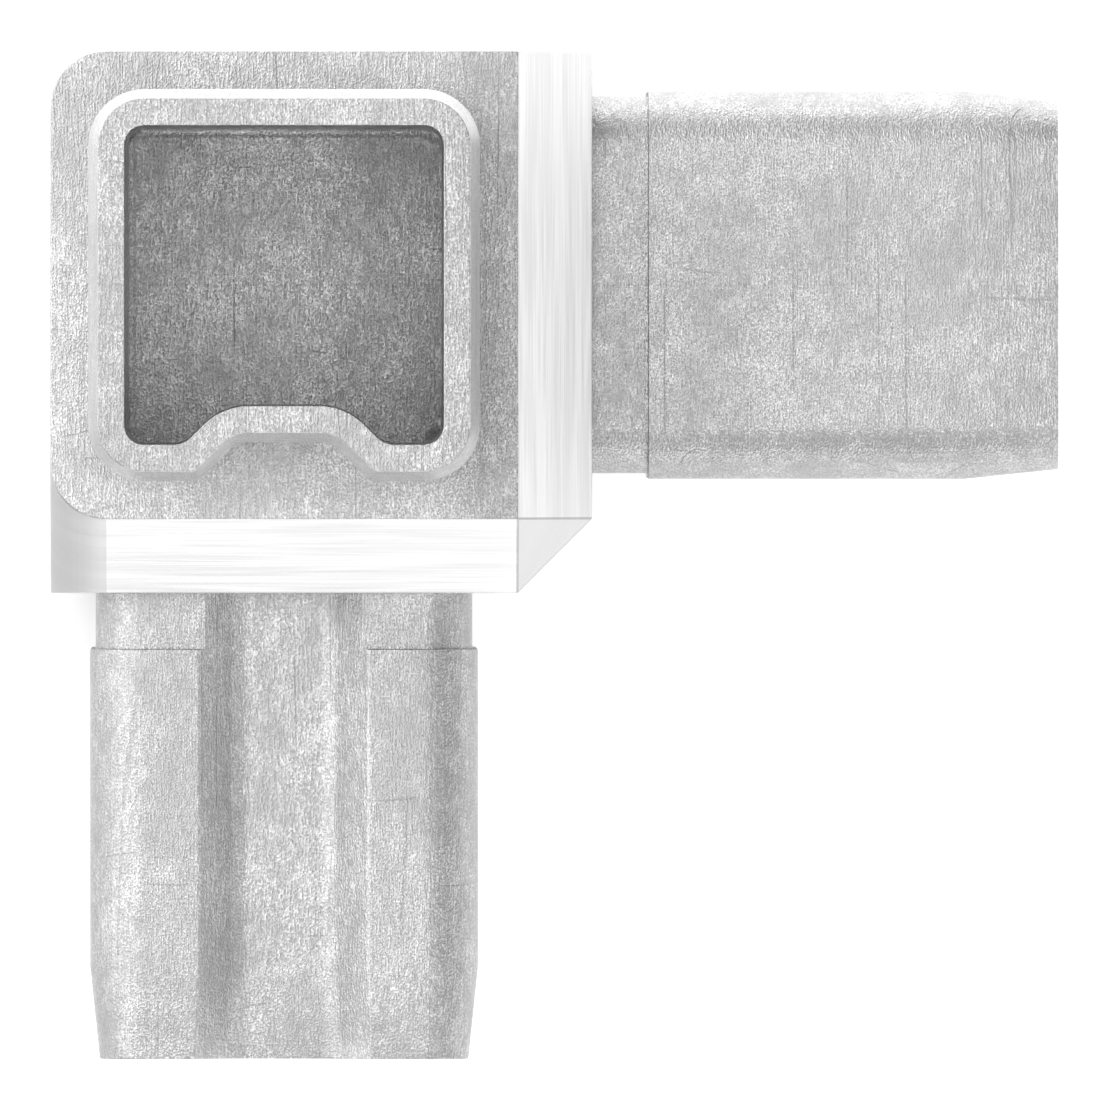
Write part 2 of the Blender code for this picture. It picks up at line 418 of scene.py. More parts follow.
def connector_tree(sizes, material):
    """Tree that joins three spigots to the block it is given, and bores them.

    Everything is measured from the hub, where the arms' axes meet.
    """
    tree = GeometryTree("Square tube connector")
    block = tree.add_input("Geometry", "NodeSocketGeometry")
    size = {
        name: tree.add_input(label_of(sizes, name), "NodeSocketFloat", getattr(sizes, name))
        for name in TREE_SIZES
    }
    outline_tree = outline_group()
    edge = size["edge"]
    depth = size["groove_depth"]
    corner = size["corner_radius"]
    inside = tree.minus(size["tube_side"], tree.times(size["tube_wall"], 2.0))
    half = tree.times(tree.minus(inside, size["clearance"]), 0.5)
    tube_half = tree.times(size["tube_side"], 0.5)
    seat = tree.add(tube_half, size["chamfer"])
    tip = tree.add(seat, size["spigot_length"])
    shoulder = tree.add(seat, size["neck_length"])
    taper_start = tree.minus(tip, size["lead_in"])
    lands = tree.add(corner, depth, size["land_excess"])
    floor_half = tree.times(tree.minus(half, lands), 0.5)
    # The rounding of the neck's channel mouth ends on the flank at every outline's knot
    neck_mouth = tree.times(size["mouth_radius"], NECK_MOUTH)
    mouth_drop = FLANK_SHIFT * math.sin(math.pi / 4.0)
    knot = tree.add(size["neck_relief"], tree.times(neck_mouth, mouth_drop))

    def outline(half_side, corner_radius, floor, channel, bend, mouth, knot_depth):
        """An outline of the given sizes."""
        values = (half_side, corner_radius, floor, channel, bend, mouth, knot_depth)
        made = tree.node("GeometryNodeGroup", node_tree=outline_tree)
        for socket, value in zip(made.inputs, values):
            tree.feed(socket, value)
        return made.outputs[0]

    def body(inset):
        """The spigot's outline, drawn in by inset."""
        return outline(
            tree.minus(half, inset),
            tree.minus(corner, inset),
            tree.add(floor_half, tree.times(inset, FLANK_SHIFT)),
            depth,
            tree.add(size["groove_radius"], inset),
            size["mouth_radius"],
            knot,
        )

    def neck(relief, mouth):
        """The spigot's outline with its flat sides drawn in, and its channel left."""
        return outline(
            tree.minus(half, relief),
            tree.minus(corner, relief),
            floor_half,
            tree.minus(depth, relief),
            size["groove_radius"],
            mouth,
            tree.minus(knot, relief),
        )

    def bore(inset):
        """The bore's outline, drawn in by inset."""
        drawn_in = tree.add(size["wall"], inset)
        return outline(
            tree.minus(half, drawn_in),
            tree.minus(corner, drawn_in),
            tree.add(floor_half, tree.times(drawn_in, FLANK_SHIFT)),
            depth,
            tree.add(size["groove_radius"], drawn_in),
            tree.minus(size["ridge_radius"], inset),
            tree.times(depth, BORE_KNOT),
        )

    root = tree.minus(seat, size["chamfer"])
    neck_outline = neck(size["neck_relief"], neck_mouth)
    full_outline = body(0.0)
    rings = [
        (neck_outline, root),
        (neck_outline, shoulder),
        (neck(edge, size["mouth_radius"]), shoulder),
        (full_outline, tree.add(shoulder, edge)),
        (full_outline, taper_start),
    ]
    edge_share = tree.math("DIVIDE", edge, size["lead_in"])
    taper_inset = tree.times(size["lead_in_inset"], tree.minus(1.0, edge_share))
    for angle in quarter_turn(EDGE_FACETS):
        inset = tree.add(taper_inset, tree.times(edge, 1.0 - math.cos(angle)))
        height = tree.minus(tip, tree.times(edge, 1.0 - math.sin(angle)))
        rings.append((body(inset), height))
    spigot = loft(tree, rings)

    bore_outline = bore(0.0)
    bore_half = tree.minus(half, size["wall"])
    mouth_rings = []
    for angle in quarter_turn(EDGE_FACETS)[:-1]:
        flare = tree.times(edge, math.cos(angle) - 1.0)
        height = tree.minus(tip, tree.times(edge, 1.0 - math.sin(angle)))
        mouth_rings.append((bore(flare), height))
    # The last ring stands past the tip's plane, so that the cutter crosses it
    last_height = tree.add(tip, tree.times(edge, CUTTER_REACH))
    mouth_rings.append((bore(tree.times(edge, -CUTTER_FLARE)), last_height))
    end_radius = size["bore_end_radius"]
    closed_rings = []
    for angle in quarter_turn(END_FACETS)[:-1]:
        inset = tree.times(end_radius, 1.0 - math.sin(angle))
        rise = tree.times(end_radius, 1.0 - math.cos(angle))
        closed_rings.append((bore(inset), tree.minus(rise, bore_half)))
    closed_rings.append((bore_outline, tree.minus(end_radius, bore_half)))
    closed_bore = loft(tree, closed_rings + mouth_rings)
    open_bore = loft(tree, [(bore_outline, 0.0)] + mouth_rings)

    spigots = []
    bores = []
    for axes in ARMS.values():
        spigots.append(turned(tree, spigot, axes))
        bores.append(turned(tree, closed_bore if not bores else open_bore, axes))
    solid = boolean(tree, "UNION", [block, *spigots])
    hollow = boolean(tree, "DIFFERENCE", bores, solid)
    smooth = tree.node("GeometryNodeSetShadeSmooth", {"Geometry": welded(tree, hollow)})
    real = tree.node("GeometryNodeRealizeInstances", {"Geometry": smooth.outputs[0]})
    finished = tree.node(
        "GeometryNodeSetMaterial", {"Geometry": real.outputs[0], "Material": material}
    )
    tree.add_output("Geometry", "NodeSocketGeometry", finished.outputs[0])
    return tree.tree


def turned(tree, geometry, axes):
    """Geometry turned into an arm's frame."""
    columns = [value for axis in axes for value in (*axis, 0.0)] + [0.0, 0.0, 0.0, 1.0]
    matrix = tree.node("FunctionNodeCombineMatrix", enumerate(map(float, columns)))
    made = tree.node(
        "GeometryNodeTransform",
        {"Geometry": geometry, "Transform": matrix.outputs[0]},
        mode="MATRIX",
    )
    return made.outputs[0]


def boolean(tree, operation, others, first=None):
    """Result of an exact Boolean."""
    made = tree.node("GeometryNodeMeshBoolean", operation=operation, solver="EXACT")
    if first is not None:
        tree.tree.links.new(first, made.inputs["Mesh 1"])
    for other in reversed(others):
        tree.tree.links.new(other, made.inputs["Mesh 2"])
    return made.outputs[0]


def round_outline(corners):
    """Outline through corners (x, y, radius), each radius turned in CORNER_FACETS steps."""
    outline = []
    for index, (x, y, radius) in enumerate(corners):
        if radius == 0.0:
            outline.append((x, y))
            continue
        before = Vector(corners[index - 1][:2])
        after = Vector(corners[(index + 1) % len(corners)][:2])
        point = Vector((x, y))
        back = (before - point).normalized()
        ahead = (after - point).normalized()
        centre = point + (back + ahead) * radius
        for angle in quarter_turn(CORNER_FACETS):
            spoke = -ahead * math.cos(angle) - back * math.sin(angle)
            outline.append(tuple(centre + spoke * radius))
    return outline


def block_object(sizes):
    """The block, measured from the hub: a cube with its inner edges chamfered.

    The elbow of the upright and the front arm has its outer edges round, with the same
    outline on both its seats, and the roundings meet in a mitre.
    """
    tube = sizes.tube_side
    side = tube + sizes.chamfer
    radius = sizes.block_radius
    seat = round_outline(
        [(tube, 0.0, 0.0), (0.0, 0.0, radius), (0.0, tube, radius), (tube, tube, 0.0)]
    )
    points = []
    for x, across in seat:
        points.append((x, across, side))
        points.append((x, side, across))
    for x, across in seat[1 : CORNER_FACETS + 2]:
        points.append((x, across, across))
    for front in (0.0, tube):
        for height in (0.0, tube):
            points.append((side, front, height))
    builder = bmesh.new()
    for x, front, height in points:
        builder.verts.new((x - tube / 2.0, tube / 2.0 - front, height - tube / 2.0))
    bmesh.ops.convex_hull(builder, input=builder.verts[:])
    bmesh.ops.dissolve_limit(
        builder, angle_limit=FLAT, verts=builder.verts[:], edges=builder.edges[:]
    )
    bmesh.ops.recalc_face_normals(builder, faces=builder.faces[:])
    mesh = bpy.data.meshes.new("block")
    builder.to_mesh(mesh)
    builder.free()
    block = bpy.data.objects.new("block", mesh)
    bpy.context.scene.collection.objects.link(block)
    return block


def tree_object(block, sizes, material):
    """The connector as a plain mesh: the block's edges broken, then the tree's result."""
    breaker = block.modifiers.new("broken edges", "BEVEL")
    breaker.width = sizes.edge
    breaker.segments = EDGE_FACETS
    breaker.limit_method = "ANGLE"
    breaker.angle_limit = BROKEN_ANGLE
    builder = block.modifiers.new("spigots and bores", "NODES")
    builder.node_group = connector_tree(sizes, material)
    identifiers = {
        item.name: item.identifier
        for item in builder.node_group.interface.items_tree
        if item.in_out == "INPUT"
    }
    for name in TREE_SIZES:
        builder[identifiers[label_of(sizes, name)]] = getattr(sizes, name)
    graph = bpy.context.evaluated_depsgraph_get()
    mesh = bpy.data.meshes.new_from_object(block.evaluated_get(graph))
    mesh.transform(Matrix.Translation((0.0, 0.0, sizes.tube_side / 2.0)))
    bpy.data.objects.remove(block, do_unlink=True)
    mesh.name = "tube_connector"
    connector = bpy.data.objects.new("tube_connector", mesh)
    bpy.context.scene.collection.objects.link(connector)
    return connector


def tidy_mesh(mesh):
    """Join neighbouring faces that lie in one plane, and drop points on straight edges."""
    builder = bmesh.new()
    builder.from_mesh(mesh)
    bmesh.ops.dissolve_degenerate(builder, dist=JOIN_DISTANCE, edges=builder.edges[:])
    bmesh.ops.dissolve_limit(
        builder, angle_limit=FLAT, verts=builder.verts[:], edges=builder.edges[:]
    )
    still_open = sum(1 for edge in builder.edges if len(edge.link_faces) != 2)
    builder.to_mesh(mesh)
    builder.free()
    if still_open:
        raise RuntimeError(f"the connector has {still_open} open edges")


def smooth_faces(connector):
    """Shade smooth by face area, so flats stay flat and broken edges catch the light."""
    mesh = connector.data
    mesh.shade_smooth()
    mesh.set_sharp_from_angle(angle=SHARP_ANGLE)
    weighted = connector.modifiers.new("flat faces", "WEIGHTED_NORMAL")
    weighted.keep_sharp = True
    graph = bpy.context.evaluated_depsgraph_get()
    shaded = bpy.data.meshes.new_from_object(connector.evaluated_get(graph))
    connector.modifiers.clear()
    connector.data = shaded
    bpy.data.meshes.remove(mesh)
    shaded.name = connector.name


# Painted light and shade on the cast skin in the bores, on seats, tips and upright sides, beside the
# rest
BORE_PAINTED_LIGHT = 1.06
SEAT_PAINTED_LIGHT = 1.15
TIP_PAINTED_SHADE = 0.95
SIDE_PAINTED_SHADE = 0.8
# Painted light and shade on the chamfers: beside the upright arm, between the lying arms, and at the
# elbow
CHAMFER_PAINTED_SHADES = (0.98, 1.0, 0.9)
# Painted shade on the corner where the chamfers meet, and darker painted shade in the creases of the
# narrow edges round it
MEETING_PAINTED_SHADE = 0.78
CREASE_PAINTED_SHADE = 0.55
# Painted shade on the elbow's rounding where it faces -X, and how much lighter it is painted per
# lean to +X
ROUNDING_PAINTED_SHADE = 0.63
ROUNDING_PAINTED_LIGHT_RISE = 0.1

# How far up a normal points where a side's painted shade begins, and where it is full
SIDE_TURN = (0.8, 0.3)
# The same on the arms' rounded edges
EDGE_TURN = (0.97, 0.77)
# A rounded edge gets more painted shade half-way round, where it leans to +X or -Y: by this much,
# coming between the first two leans and going between the last two
EDGE_PAINTED_SHADE = 0.14
DIP_COMES = (0.1, 0.45)
DIP_GOES = (1.05, 0.65)
# A face is on a rounded edge past this share of the tube's half side, and not if it faces +Y
EDGE_START = 0.62
EDGE_BACK = 0.1
# Cosine above which a face looks along its arm, and above which its grain is turned
ALONG_ARM = 0.9
TURNED_GRAIN = 0.75


def face_values(mesh, name, width):
    """One row of numbers for each face: its centre, its normal or its area."""
    values = np.zeros(len(mesh.polygons) * width)
    mesh.polygons.foreach_get(name, values)
    return values.reshape(-1, width)


def fade(value, start, end):
    """From 0 at start to 1 at end, evenly."""
    return ((value - start) / (end - start)).clip(0.0, 1.0)


def painted_skin_shading(out, normals, sizes):
    """Painted light and shade on the cast skin of each face, given how far out along each arm it
    lies.
    """
    tube_half = sizes.tube_side / 2.0
    seat = tube_half + sizes.chamfer
    rows = np.arange(len(out))
    arm = out.argmax(axis=1)
    along_arm = out[rows, arm]
    off_axis = out.copy()
    off_axis[rows, arm] = np.where(along_arm > tube_half, 0.0, along_arm)
    outward = normals * OUTWARD
    faces_out = outward[rows, arm] > ALONG_ARM
    faces_in = (outward * off_axis).sum(axis=1) < -sizes.edge
    near_corner = np.sort(np.abs(off_axis), axis=1)[:, 1] > EDGE_START * tube_half
    rounded = near_corner & (along_arm > seat) & (normals[:, 1] < EDGE_BACK)
    upright = np.abs(normals[:, 2])
    # Faces turned to the side get painted shade, and rounded edges more of it where they lean to +X
    # or -Y
    sideways = np.where(rounded, fade(upright, *EDGE_TURN), fade(upright, *SIDE_TURN))
    painted_shading = 1.0 - (1.0 - SIDE_PAINTED_SHADE) * sideways
    lean = np.maximum(normals[:, 0], -normals[:, 1])
    dip = fade(lean, *DIP_COMES) * fade(lean, *DIP_GOES)
    painted_shading[rounded] *= (1.0 - EDGE_PAINTED_SHADE * dip)[rounded]
    # Bores and seats are painted lighter, tips painted darker
    painted_shading[faces_in] = BORE_PAINTED_LIGHT
    painted_shading[faces_out & (np.abs(along_arm - seat) < sizes.edge)] = SEAT_PAINTED_LIGHT
    painted_shading[faces_out & (along_arm > seat + sizes.edge)] = TIP_PAINTED_SHADE
    return painted_shading


def mark_finishes(mesh, sizes):
    """Store where the metal is dressed, its painted light and shade, and which way its grain runs.

    "dressed" is 1 on the block's chamfers, "lined" is 1 on those that show brush lines,
    the shading layer is painted light and shade: how much each face is lightened or darkened to
    stand in for the light on it, and "turned_grain" is 1 where the surface faces along Y.
    """
    tube_half = sizes.tube_side / 2.0
    seat = tube_half + sizes.chamfer
    normals = face_values(mesh, "normal", 3)
    out = (face_values(mesh, "center", 3) - (0.0, 0.0, tube_half)) * OUTWARD
    # How far each face lies past the three chamfers' planes, in the order of their tones
    past = np.stack([out[:, 0] + out[:, 2], out[:, 0] + out[:, 1], out[:, 1] + out[:, 2]])
    past -= tube_half + seat
    strip = past.argmax(axis=0)
    in_block = out.max(axis=1) < seat - sizes.edge / 4.0
    on_strip = (past[:2].max(axis=0) > -sizes.edge) | (past[2] > -sizes.block_radius)
    dressed = in_block & on_strip
    rounding = dressed & (out[:, 0] < sizes.block_radius - tube_half)
    meeting = dressed & (out.min(axis=1) > tube_half)
    narrow = face_values(mesh, "area", 1)[:, 0] < 2.0 * sizes.edge * sizes.chamfer
    crease = dressed & narrow & (out.min(axis=1) > tube_half - 2.0 * sizes.edge)
    painted_shading = painted_skin_shading(out, normals, sizes)
    # Painted light and shade on the chamfers, their meeting corner, the creases round it and the
    # elbow's rounding
    painted_shading[dressed] = np.array(CHAMFER_PAINTED_SHADES)[strip[dressed]]
    painted_shading[meeting] = MEETING_PAINTED_SHADE
    painted_shading[crease] = CREASE_PAINTED_SHADE
    painted_shading[rounding] = ROUNDING_PAINTED_SHADE + ROUNDING_PAINTED_LIGHT_RISE * (1.0 + normals[rounding, 0])
    layers = {
        "dressed": dressed,
        "lined": dressed & ~rounding & ~meeting,
        "painted_shading": painted_shading,
        "turned_grain": np.abs(normals[:, 1]) > TURNED_GRAIN,
    }
    for name, values in layers.items():
        layer = mesh.attributes.new(name, "FLOAT", "FACE")
        layer.data.foreach_set("value", values.astype(float))
    map_brushing(mesh, strip, tube_half)


def map_brushing(mesh, strip, tube_half):
    """UV map "Brush", in metres: across and along the brushing of each face's chamfer."""
    places = np.zeros(len(mesh.vertices) * 3)
    mesh.vertices.foreach_get("co", places)
    places = places.reshape(-1, 3) - (0.0, 0.0, tube_half)
    loops = np.zeros(len(mesh.loops), dtype=int)
    mesh.loops.foreach_get("vertex_index", loops)
    strip = np.repeat(strip, [len(face.vertices) for face in mesh.polygons])
    x, y, z = places[loops].T
    across = np.choose(strip, [x - z, x + y, -y - z]) / math.sqrt(2.0)
    along = np.choose(strip, [y, z, x])
    layer = mesh.uv_layers.new(name="Brush")
    layer.data.foreach_set("uv", np.stack([across, along], axis=1).ravel())


class ShaderTree(Nodes):
    """A material's node tree, around its Principled shader."""

    def __init__(self, name):
        material = bpy.data.materials.new(name)
        material.use_nodes = True
        super().__init__(material.node_tree)
        self.material = material
        self.shader = material.node_tree.nodes["Principled BSDF"]

    def noise(self, place, detail):
        """Noise of unit size at a place."""
        made = self.node(
            "ShaderNodeTexNoise", {"Vector": place, "Scale": 1.0, "Detail": detail}
        )
        return made.outputs["Fac"]

    def spread(self, place, widths):
        """A place in metres, counted in widths along each axis."""
        return self.multiplied(place, tuple(1.0 / width for width in widths))

    def attribute(self, name):
        """A value that the mesh carries."""
        return self.node("ShaderNodeAttribute", attribute_name=name).outputs["Fac"]

    def ramp(self, value, low, high, start=0.0, end=1.0):
        """A value carried smoothly from low..high to start..end."""
        made = self.node(
            "ShaderNodeMapRange",
            {0: value, 1: low, 2: high, 3: start, 4: end},
            interpolation_type="SMOOTHSTEP",
        )
        return made.outputs[0]

    def blend(self, share, first, second, kind="FLOAT"):
        """First to second, by share: numbers, vectors or colours."""
        place = {"FLOAT": 2, "VECTOR": 4, "RGBA": 6}[kind]
        made = self.node("ShaderNodeMix", {0: share}, data_type=kind)
        self.feed(made.inputs[place], first)
        self.feed(made.inputs[place + 1], second)
        return made.outputs[place // 2 - 1]

    def along_grain(self, place, turned):
        """A place whose Y runs along the grain: Y and Z trade places where it is turned."""
        parts = self.node("ShaderNodeSeparateXYZ", {0: place}).outputs
        traded = self.node("ShaderNodeCombineXYZ", {0: parts[0], 1: parts[2], 2: parts[1]})
        return self.blend(turned, place, traded.outputs[0], "VECTOR")

    def hairlines(self, place, widths, thickness, breaks, threshold):
        """Thin broken lines, where stretched noise crosses its middle."""
        field = self.noise(self.spread(place, widths), 0.0)
        off_line = self.math("ABSOLUTE", self.minus(field, 0.5))
        line = self.ramp(off_line, 0.0, thickness, 1.0, 0.0)
        gaps = self.noise(self.spread(place, breaks), 0.0)
        return self.times(line, self.ramp(gaps, threshold, threshold + GAP_EDGE))

    def swing(self, value, amount):
        """How far a noise is from its middle, scaled."""
        return self.times(self.minus(value, 0.5), amount)


# Widths of the skin's fine grain and streaks, in grains: across, along and into the metal
FINE_WIDTHS = (1.0, 1.3, 1.0)
STREAK_WIDTHS = (1.0, 8.0, 1.0)
# The same for its dull patches and its clouds, in metres
PATCH_WIDTHS = (0.9 * MM, 1.3 * MM, 0.9 * MM)
CLOUD_WIDTHS = (3.5 * MM, 5.0 * MM, 3.5 * MM)
# Scratches along the grain and across it: widths of their field and of its gaps in the same
# order, how thin they are, and how much of them the gaps take
SCRATCHES = (
    ((1.8 * MM, 70.0 * MM, 1.8 * MM), (3.0 * MM, 12.0 * MM, 3.0 * MM), 0.016, 0.58),
    ((30.0 * MM, 3.4 * MM, 30.0 * MM), (4.0 * MM, 3.0 * MM, 4.0 * MM), 0.008, 0.66),
)
# How softly a scratch ends at a gap
GAP_EDGE = 0.08
# Brush lines, plies and bands on the chamfers: across and along the brushing, in grains
LINE_WIDTHS = (0.7, 70.0, 1.0)
PLY_WIDTHS = (2.6, 200.0, 1.0)
BAND_WIDTHS = (8.0, 300.0, 1.0)
# How bright the chamfers are between the worn lines and on them, and where no lines show
LINE_TONES = (1.0, 0.925)
PLAIN_TONE = 0.96
# Painted shade on the upright arm and its seat towards +X, the side turned away from the light from
# -X:
# the heights between which this comes in, the X between which it grows, and how much it is
PAINTED_SHADE_RISE = (27.0 * MM, 28.5 * MM)
PAINTED_SHADE_SIDE = (7.0 * MM, 10.8 * MM)
PAINTED_SHADE_DEPTH = 0.15


def grains(widths, grain):
    """Widths that are counted in grains, as lengths."""
    return tuple(width * grain for width in widths)


def cast_skin(tree, place, grain):
    """The cast skin's grain with its scratches, as a height, and its share of bright zinc."""
    fine = tree.noise(tree.spread(place, grains(FINE_WIDTHS, grain)), 1.0)
    streak = tree.noise(tree.spread(place, grains(STREAK_WIDTHS, grain)), 1.0)
    patch = tree.noise(tree.spread(place, PATCH_WIDTHS), 2.0)
    cloud = tree.noise(tree.spread(place, CLOUD_WIDTHS), 1.0)
    scratches = [
        tree.hairlines(place, widths, thickness, breaks, threshold)
        for widths, breaks, thickness, threshold in SCRATCHES
    ]
    scratch = tree.math("MAXIMUM", *scratches)
    # The fine grain shows most in the bright clouds
    contrast = tree.ramp(cloud, 0.3, 0.6, 1.1, 2.0)
    share = tree.add(
        0.5,
        tree.times(tree.minus(fine, 0.5), contrast),
        tree.swing(streak, 0.9),
        tree.swing(patch, 0.6),
        tree.swing(cloud, 0.5),
        tree.times(scratch, -0.25),
    )
    height = tree.add(fine, tree.swing(streak, 0.8), tree.times(scratch, -0.4))
    return height, share


def brushing(tree, grain):
    """Brush lines on the chamfers: fine ones, and how worn the wider bands are."""
    place = tree.node("ShaderNodeUVMap", uv_map="Brush").outputs[0]
    line = tree.noise(tree.spread(place, grains(LINE_WIDTHS, grain)), 0.0)
    ply = tree.noise(tree.spread(place, grains(PLY_WIDTHS, grain)), 1.0)
    band = tree.noise(tree.spread(place, grains(BAND_WIDTHS, grain)), 0.0)
    worn = tree.add(0.5, tree.swing(line, 2.4), tree.swing(ply, 0.8), tree.swing(band, 1.2))
    return line, worn


def zinc_colour(tree, at, share, finish):
    """Bright zinc on dull, with painted shade towards +X on the upright arm and its seat."""
    glint = tree.math("POWER", tree.math("MAXIMUM", share, 0.0), 2.0)
    zinc = tree.blend(glint, (*finish.patch_color, 1.0), (*finish.cast_color, 1.0), "RGBA")
    beside, _, above = tree.node("ShaderNodeSeparateXYZ", {0: at}).outputs
    # Painted shade: darker towards +X above the seats' height, where the upright arm keeps off the
    # light from -X
    painted_shade = tree.times(tree.ramp(above, *PAINTED_SHADE_RISE), tree.ramp(beside, *PAINTED_SHADE_SIDE, 0.0, PAINTED_SHADE_DEPTH))
    return tree.multiplied(zinc, tree.minus(1.0, painted_shade))


def galvanised_metal(finish):
    """Hot-dip zinc on a cast skin, with dressed and brushed chamfers."""
    tree = ShaderTree("galvanised_metal")
    inputs = tree.shader.inputs
    dressed = tree.attribute("dressed")
    at = tree.node("ShaderNodeTexCoord").outputs["Object"]
    place = tree.along_grain(at, tree.attribute("turned_grain"))
    height, share = cast_skin(tree, place, finish.grain)
    line, worn = brushing(tree, finish.grain)
    lines = tree.ramp(worn, 0.0, 1.0, *LINE_TONES)
    line_shade = tree.blend(tree.attribute("lined"), PLAIN_TONE, lines)
    brushed = tree.multiplied(tree.vector(*finish.brushed_color), line_shade)
    metal = tree.blend(dressed, zinc_colour(tree, at, share, finish), brushed, "RGBA")
    # The base colour carries the painted light and shade of each face
    tree.feed(inputs["Base Color"], tree.multiplied(metal, tree.attribute("painted_shading")))
    inputs["Metallic"].default_value = 1.0
    # Bright zinc is smoother than dull zinc, and worn lines are rougher than the rest
    cast = finish.cast_roughness
    cast_rough = tree.ramp(share, 0.0, 1.0, cast + 0.06, cast - 0.04)
    worked = finish.brushed_roughness
    brushed_rough = tree.ramp(worn, 0.0, 1.0, worked - 0.04, worked + 0.06)
    tree.feed(inputs["Roughness"], tree.blend(dressed, cast_rough, brushed_rough))
    relief = tree.blend(dressed, height, tree.times(line, 0.05))
    bump = tree.node(
        "ShaderNodeBump", {"Strength": 1.0, "Distance": finish.relief, "Height": relief}
    )
    tree.feed(inputs["Normal"], bump.outputs[0])
    return tree.material


# Where the floor gives off more light, painted pools of light that wash out the connector's shadow:
# by Y, close behind the connector, further behind, and where that ends again; and by X less Y,
# between the lying arms
CLOSE_BEHIND = (3.0 * MM, 10.0 * MM)
FURTHER_BEHIND = (11.0 * MM, 28.0 * MM)
FAR_BEHIND = (40.0 * MM, 100.0 * MM)
BETWEEN_ARMS = (10.0 * MM, 36.0 * MM)
# The share of the light behind that starts close to the connector
CLOSE_SHARE = 0.3


def lay_floor(stage):
    """A pale floor under the connector, glowing evenly and in painted pools of light where the
    connector's shadow would fall.
    """
    tree = ShaderTree("pale_floor")
    place = tree.node("ShaderNodeTexCoord").outputs["Object"]
    across, deep, _ = tree.node("ShaderNodeSeparateXYZ", {0: place}).outputs
    close = tree.ramp(deep, *CLOSE_BEHIND, 0.0, CLOSE_SHARE * stage.back_glow)
    further = tree.ramp(deep, *FURTHER_BEHIND, 0.0, (1.0 - CLOSE_SHARE) * stage.back_glow)
    behind = tree.times(tree.add(close, further), tree.ramp(deep, *FAR_BEHIND, 1.0, 0.0))
    brightest = stage.floor_glow + stage.corner_glow
    between = tree.ramp(tree.minus(across, deep), *BETWEEN_ARMS, stage.floor_glow, brightest)
    inputs = tree.shader.inputs
    inputs["Base Color"].default_value = (*stage.floor_color, 1.0)
    inputs["Roughness"].default_value = 0.9
    inputs["Specular IOR Level"].default_value = 0.2
    inputs["Emission Color"].default_value = (1.0, 1.0, 1.0, 1.0)
    tree.feed(inputs["Emission Strength"], tree.add(behind, between))
    builder = bmesh.new()
    bmesh.ops.create_grid(builder, x_segments=1, y_segments=1, size=stage.floor_size / 2.0)
    mesh = bpy.data.meshes.new("floor")
    builder.to_mesh(mesh)
    builder.free()
    mesh.materials.append(tree.material)
    floor = bpy.data.objects.new("floor", mesh)
    bpy.context.scene.collection.objects.link(floor)


# Soft bright parts of the sky: azimuth and elevation in degrees, sharpness and radiance
GLOWS = (
    (0.0, 90.0, 8.0, 0.1),
    (0.0, 45.0, 8.0, 0.15),
    (90.0, 45.0, 8.0, 0.3),
    (135.0, 45.0, 8.0, 1.35),
    (180.0, 45.0, 8.0, 1.35),
    (315.0, 45.0, 8.0, 0.72),
    (0.0, 8.0, 8.0, 1.05),
    (135.0, 8.0, 8.0, 0.5),
    (180.0, 8.0, 8.0, 1.5),
    (270.0, 8.0, 8.0, 1.95),
    (315.0, 8.0, 8.0, 1.05),
    (90.0, 8.0, 8.0, 0.45),
    (90.0, 3.0, 60.0, 6.0),
)
# The softbox above: how high it hangs, and its side
SOFTBOX_HEIGHT = 1.2
SOFTBOX_SIDE = 0.4


def direction(azimuth, elevation):
    """The unit vector towards a direction given in degrees."""
    turn = math.radians(azimuth)
    rise = math.radians(elevation)
    level = math.cos(rise)
    return (level * math.cos(turn), level * math.sin(turn), math.sin(rise))


def hang_softbox(radiance):
    """A square softbox straight above the connector."""
    lamp = bpy.data.lights.new("overhead_panel", "AREA")
    lamp.shape = "SQUARE"
    lamp.size = SOFTBOX_SIDE
    lamp.energy = math.pi * SOFTBOX_SIDE**2 * radiance
    holder = bpy.data.objects.new("overhead_panel", lamp)
    holder.location = (0.0, 0.0, SOFTBOX_HEIGHT)
    holder.visible_camera = False
    bpy.context.scene.collection.objects.link(holder)


def soft_sky(stage):
    """A studio's even light, brighter towards some directions and without any edge."""
    world = bpy.data.worlds.new("studio")
    world.use_nodes = True
    tree = Nodes(world.node_tree)
    toward = tree.node("ShaderNodeTexCoord").outputs["Generated"]
    total = stage.sky
    for azimuth, elevation, sharpness, radiance in GLOWS:
        cosine = tree.node(
            "ShaderNodeVectorMath",
            {0: toward, 1: direction(azimuth, elevation)},
            operation="DOT_PRODUCT",
        )
        near = tree.math("MAXIMUM", cosine.outputs["Value"], 0.0)
        total = tree.add(total, tree.times(tree.math("POWER", near, sharpness), radiance))
    inputs = world.node_tree.nodes["Background"].inputs
    inputs["Color"].default_value = (1.0, 1.0, 1.0, 1.0)
    tree.feed(inputs["Strength"], total)
    return world


def light_stage(scene, stage):
    """The soft sky, and a softbox straight above the connector."""
    scene.world = soft_sky(stage)
    hang_softbox(stage.overhead)
    scene.view_settings.view_transform = "Standard"


def aim_camera(stage):
    """A long lens straight above the upright spigot, so that its bore is seen straight on.

    The picture's centre lies a little to the side and the front of that spigot.
    """
    lens_data = bpy.data.cameras.new("camera")
    lens_data.lens = lens_data.sensor_width * stage.camera_distance / stage.view_width
    lens_data.clip_start = 0.1
    lens_data.clip_end = 10.0
    camera = bpy.data.objects.new("camera", lens_data)
    target = Vector(PICTURE_CENTRE)
    place = Vector((0.0, 0.0, target.z + stage.camera_distance))
    back = (place - target).normalized()
    right = Vector((0.0, 1.0, 0.0)).cross(back).normalized()
    up = back.cross(right)
    turn = Matrix((right, up, back)).transposed()
    camera.matrix_world = Matrix.Translation(place) @ turn.to_4x4()
    bpy.context.scene.collection.objects.link(camera)
    return camera


